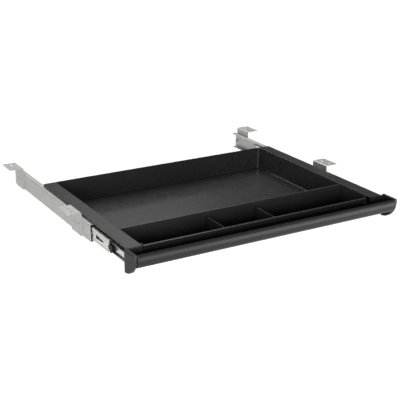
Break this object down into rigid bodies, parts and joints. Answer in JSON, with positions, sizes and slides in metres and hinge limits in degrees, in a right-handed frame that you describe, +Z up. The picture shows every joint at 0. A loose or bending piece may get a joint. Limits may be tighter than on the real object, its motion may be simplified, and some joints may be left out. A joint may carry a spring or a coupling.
{
  "type": "under desk drawer",
  "caption": "Shallow black steel pencil drawer with a full-width curved pull, hung under a desk top on full-extension ball slides with screw-on brackets.",
  "frame": {"origin": "centre of the four round desk screw holes, in the plane of the desk's underside (the top of the bracket tabs)", "axes": "+X to the right of a person sitting at the desk and facing it, +Y to the rear of the desk, +Z up; the drawer opens along -Y"},
  "size_m": [0.639, 0.6032, 0.0582],
  "materials": {
    "zinc_steel": "bright zinc plate, satin",
    "bearing_steel": "polished",
    "black_powder_coat": "satin fine-texture powder coat",
    "black_extrusion": "satin black, fine lengthwise lines",
    "black_cap_plastic": "fine-grained moulded plastic",
    "black_slide_plastic": "smooth moulded plastic",
    "black_screw_steel": "black oxide"
  },
  "bodies": {
    "desk_mount": {"bracket_front_left": "zinc_steel", "bracket_front_right": "zinc_steel", "bracket_rear_left": "zinc_steel", "bracket_rear_right": "zinc_steel", "bracket_rivets_left": "zinc_steel", "bracket_rivets_right": "zinc_steel", "outer_rail_left": "zinc_steel", "outer_rail_right": "zinc_steel"},
    "drawer": {"drawer_pan": "black_powder_coat", "partition": "black_powder_coat", "divider_left": "black_powder_coat", "divider_right": "black_powder_coat", "front_pull": "black_extrusion", "pull_screws": "black_screw_steel", "side_channel_left": "black_powder_coat", "side_channel_right": "black_powder_coat", "end_cap_left": "black_cap_plastic", "end_cap_right": "black_cap_plastic", "inner_rail_left": "zinc_steel", "inner_rail_right": "zinc_steel", "rail_screws_left": "black_screw_steel", "rail_screws_right": "black_screw_steel", "lever_pin_left": "zinc_steel", "lever_pin_right": "zinc_steel"},
    "middle_slide_left": {"middle_rail_left": "zinc_steel", "middle_bumper_left": "black_slide_plastic"},
    "outer_cage_left": {"outer_ball_cage_left": "zinc_steel", "outer_balls_left": "bearing_steel"},
    "inner_cage_left": {"inner_ball_cage_left": "zinc_steel", "inner_balls_left": "bearing_steel"},
    "release_lever_left": {"release_lever_left": "black_slide_plastic"},
    "middle_slide_right": {"middle_rail_right": "zinc_steel", "middle_bumper_right": "black_slide_plastic"},
    "outer_cage_right": {"outer_ball_cage_right": "zinc_steel", "outer_balls_right": "bearing_steel"},
    "inner_cage_right": {"inner_ball_cage_right": "zinc_steel", "inner_balls_right": "bearing_steel"},
    "release_lever_right": {"release_lever_right": "black_slide_plastic"}
  },
  "joints": [
    {"name": "drawer_slide", "type": "slide", "parent": "desk_mount", "child": "drawer", "axis": [0, -1, 0], "range_m": [-0.148, 0.252]},
    {"name": "middle_slide_travel_left", "type": "slide", "parent": "desk_mount", "child": "middle_slide_left", "axis": [0, -1, 0], "range_m": [-0.089, 0.1514]},
    {"name": "outer_cage_travel_left", "type": "slide", "parent": "desk_mount", "child": "outer_cage_left", "axis": [0, -1, 0], "range_m": [-0.0446, 0.0758]},
    {"name": "inner_cage_travel_left", "type": "slide", "parent": "desk_mount", "child": "inner_cage_left", "axis": [0, -1, 0], "range_m": [-0.1186, 0.2018]},
    {"name": "middle_slide_travel_right", "type": "slide", "parent": "desk_mount", "child": "middle_slide_right", "axis": [0, -1, 0], "range_m": [-0.089, 0.1514]},
    {"name": "outer_cage_travel_right", "type": "slide", "parent": "desk_mount", "child": "outer_cage_right", "axis": [0, -1, 0], "range_m": [-0.0446, 0.0758]},
    {"name": "inner_cage_travel_right", "type": "slide", "parent": "desk_mount", "child": "inner_cage_right", "axis": [0, -1, 0], "range_m": [-0.1186, 0.2018]},
    {"name": "release_lever_left_turn", "type": "hinge", "parent": "drawer", "child": "release_lever_left", "pos_m": [-0.28, -0.1315, -0.0308], "axis": [-1, 0, 0], "range_deg": [0, 5], "stiffness_Nm_per_rad": 0.02},
    {"name": "release_lever_right_turn", "type": "hinge", "parent": "drawer", "child": "release_lever_right", "pos_m": [0.28, -0.1315, -0.0308], "axis": [-1, 0, 0], "range_deg": [0, 5], "stiffness_Nm_per_rad": 0.02}
  ],
  "couplings": [
    {"joint": "middle_slide_travel_left", "follows": "drawer_slide", "ratio": 0.6},
    {"joint": "outer_cage_travel_left", "follows": "drawer_slide", "ratio": 0.3},
    {"joint": "inner_cage_travel_left", "follows": "drawer_slide", "ratio": 0.8},
    {"joint": "middle_slide_travel_right", "follows": "drawer_slide", "ratio": 0.6},
    {"joint": "outer_cage_travel_right", "follows": "drawer_slide", "ratio": 0.3},
    {"joint": "inner_cage_travel_right", "follows": "drawer_slide", "ratio": 0.8}
  ]
}
